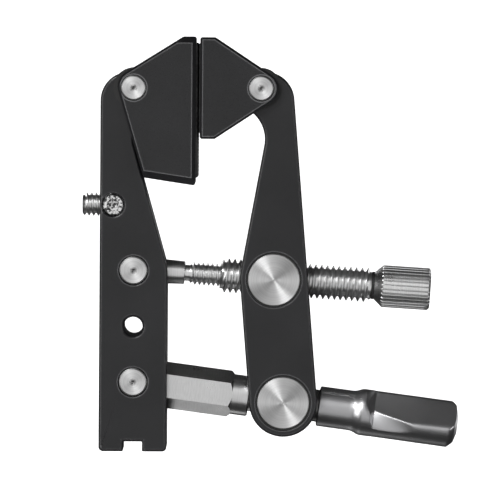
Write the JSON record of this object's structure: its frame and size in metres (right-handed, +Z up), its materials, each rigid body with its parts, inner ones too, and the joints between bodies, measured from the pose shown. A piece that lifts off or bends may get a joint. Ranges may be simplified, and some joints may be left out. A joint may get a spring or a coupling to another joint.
{
  "type": "super clamp",
  "caption": "Two-arm super clamp with swivelling padded jaws, a telescopic adjusting screw with a knurled knob, and a clamping rod with a handle.",
  "frame": {"origin": "centre of the left arm's tapped hole, at mid thickness", "axes": "+X from the left arm to the right arm and the handle, +Y from the front face to the back along the tapped hole, +Z up along the left arm towards the jaws"},
  "size_m": [0.1032, 0.026, 0.113],
  "materials": {
    "anodised": "black hard-anodised, fine satin",
    "rubber": "black ribbed rubber",
    "steel": "turned, bright",
    "gunmetal": "dark grey satin anodised",
    "bearing_plastic": "black bearing plastic"
  },
  "bodies": {
    "left_arm": {"left_arm": "anodised", "upper_pivot_pin": "steel", "lower_pivot_pin": "steel", "arm_pin_screws": "steel", "left_jaw_pin": "steel", "left_jaw_pin_screw": "steel", "accessory_stud": "steel", "stud_lock_screw": "steel"},
    "left_jaw": {"left_jaw_shell": "anodised", "left_jaw_pad": "rubber", "left_jaw_washers": "bearing_plastic"},
    "eye_bolt": {"eye_bolt": "steel", "eye_washers": "steel"},
    "stop_ring": {"knob_stop_ring": "bearing_plastic"},
    "adjuster": {"adjuster_sleeve": "steel", "adjuster_knob": "steel"},
    "upper_barrel": {"upper_barrel": "steel"},
    "upper_bushes": {"upper_bushes": "bearing_plastic"},
    "right_arm": {"right_arm": "anodised"},
    "right_jaw_pin": {"right_jaw_pin": "steel", "right_jaw_pin_screw": "steel"},
    "right_jaw": {"right_jaw_shell": "anodised", "right_jaw_pad": "rubber", "right_jaw_washers": "bearing_plastic"},
    "lower_bushes": {"lower_bushes": "bearing_plastic"},
    "lower_barrel": {"lower_barrel": "steel", "thrust_washers": "steel"},
    "hex_sleeve": {"hex_sleeve": "steel", "hex_eye_washers": "steel"},
    "clamp_screw": {"clamp_spindle": "steel", "clamp_handle": "gunmetal"}
  },
  "joints": [
    {"name": "jaws_swivel", "type": "hinge", "parent": "left_arm", "child": "left_jaw", "pos_m": [-0.00025, 0, 0.0649], "axis": [0, 1, 0], "range_deg": [-5.5, 5.5]},
    {"name": "eye_swing", "type": "hinge", "parent": "left_arm", "child": "eye_bolt", "pos_m": [0, 0, 0.0152], "axis": [0, 1, 0], "range_deg": [0, 4.85]},
    {"name": "ring_slide", "type": "slide", "parent": "eye_bolt", "child": "stop_ring", "axis": [0.9981, 0, -0.0609], "range_m": [0, 0.00535]},
    {"name": "knob_turn", "type": "hinge", "parent": "stop_ring", "child": "adjuster", "pos_m": [0, 0, 0.0152], "axis": [0.9981, 0, -0.0609], "range_deg": [0, 1514.83]},
    {"name": "adjuster_travel", "type": "slide", "parent": "eye_bolt", "child": "upper_barrel", "axis": [0.9981, 0, -0.0609], "range_m": [0, 0.012]},
    {"name": "bush_turn_upper", "type": "hinge", "parent": "upper_barrel", "child": "upper_bushes", "pos_m": [0.03821, 0, 0.01287], "axis": [0, 1, 0], "range_deg": [0, 16.25]},
    {"name": "arm_swing", "type": "hinge", "parent": "upper_bushes", "child": "right_arm", "pos_m": [0.03821, 0, 0.01287], "axis": [0, 1, 0], "range_deg": [0, 3.46]},
    {"name": "pin_turn", "type": "hinge", "parent": "right_arm", "child": "right_jaw_pin", "pos_m": [0.03443, 0, 0.06494], "axis": [0, 1, 0], "range_deg": [-21.05, 0]},
    {"name": "right_jaw_swivel", "type": "hinge", "parent": "right_jaw_pin", "child": "right_jaw", "pos_m": [0.03443, 0, 0.06494], "axis": [0, 1, 0], "range_deg": [-5.55, 5.55]},
    {"name": "bush_turn_lower", "type": "hinge", "parent": "right_arm", "child": "lower_bushes", "pos_m": [0.04095, 0, -0.0206], "axis": [0, 1, 0], "range_deg": [-15.9, 0]},
    {"name": "barrel_turn_lower", "type": "hinge", "parent": "lower_bushes", "child": "lower_barrel", "pos_m": [0.04095, 0, -0.0206], "axis": [0, 1, 0], "range_deg": [-3.25, 0]},
    {"name": "clamp_travel", "type": "slide", "parent": "lower_barrel", "child": "hex_sleeve", "axis": [0.9914, 0, -0.1307], "range_m": [0, 0.002]},
    {"name": "handle_turn", "type": "hinge", "parent": "lower_barrel", "child": "clamp_screw", "pos_m": [0.04095, 0, -0.0206], "axis": [0.9914, 0, -0.1307], "range_deg": [0, 577.15]}
  ],
  "couplings": [
    {"joint": "knob_turn", "follows": "adjuster_travel", "rad_per_m": 2198.8},
    {"joint": "ring_slide", "follows": "adjuster_travel", "ratio": 0.44444},
    {"joint": "eye_swing", "follows": "adjuster_travel", "rad_per_m": 6.9813},
    {"joint": "bush_turn_upper", "follows": "adjuster_travel", "rad_per_m": 23.568},
    {"joint": "pin_turn", "follows": "adjuster_travel", "rad_per_m": -30.549},
    {"joint": "bush_turn_lower", "follows": "adjuster_travel", "rad_per_m": -23.054},
    {"joint": "handle_turn", "follows": "clamp_travel", "rad_per_m": 5026.5},
    {"joint": "arm_swing", "follows": "clamp_travel", "rad_per_m": 29.772},
    {"joint": "barrel_turn_lower", "follows": "clamp_travel", "rad_per_m": -27.91},
    {"joint": "right_jaw_swivel", "follows": "jaws_swivel", "ratio": 1}
  ]
}
